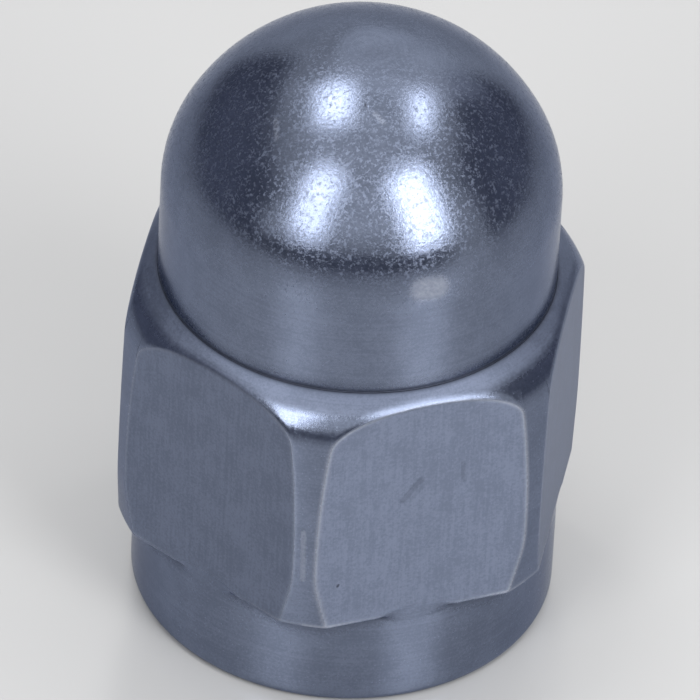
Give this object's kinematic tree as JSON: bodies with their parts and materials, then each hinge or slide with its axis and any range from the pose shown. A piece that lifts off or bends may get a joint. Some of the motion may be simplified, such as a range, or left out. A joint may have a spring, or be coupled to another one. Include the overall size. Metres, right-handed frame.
{
  "type": "suspension nut",
  "caption": "Closed domed hexagon nut with a sloped shoulder above the flats and a plain round collar below, threaded blind from the seating face.",
  "frame": {"origin": "centre of the thread's axis on the plane of the seating face, under the collar", "axes": "+Z along the thread's axis from the seating face towards the dome, +Y and -Y square to a pair of flats, +X through a corner of the hexagon"},
  "size_m": [0.0192, 0.017, 0.0264],
  "materials": {
    "zinc_plated_steel": "satin, bright zinc plating over turned steel, bluish grey, finely speckled, with faint turning lines on the dome and drawn streaks on the flats"
  },
  "bodies": {
    "root": {"dome_nut": "zinc_plated_steel"}
  },
  "joints": []
}
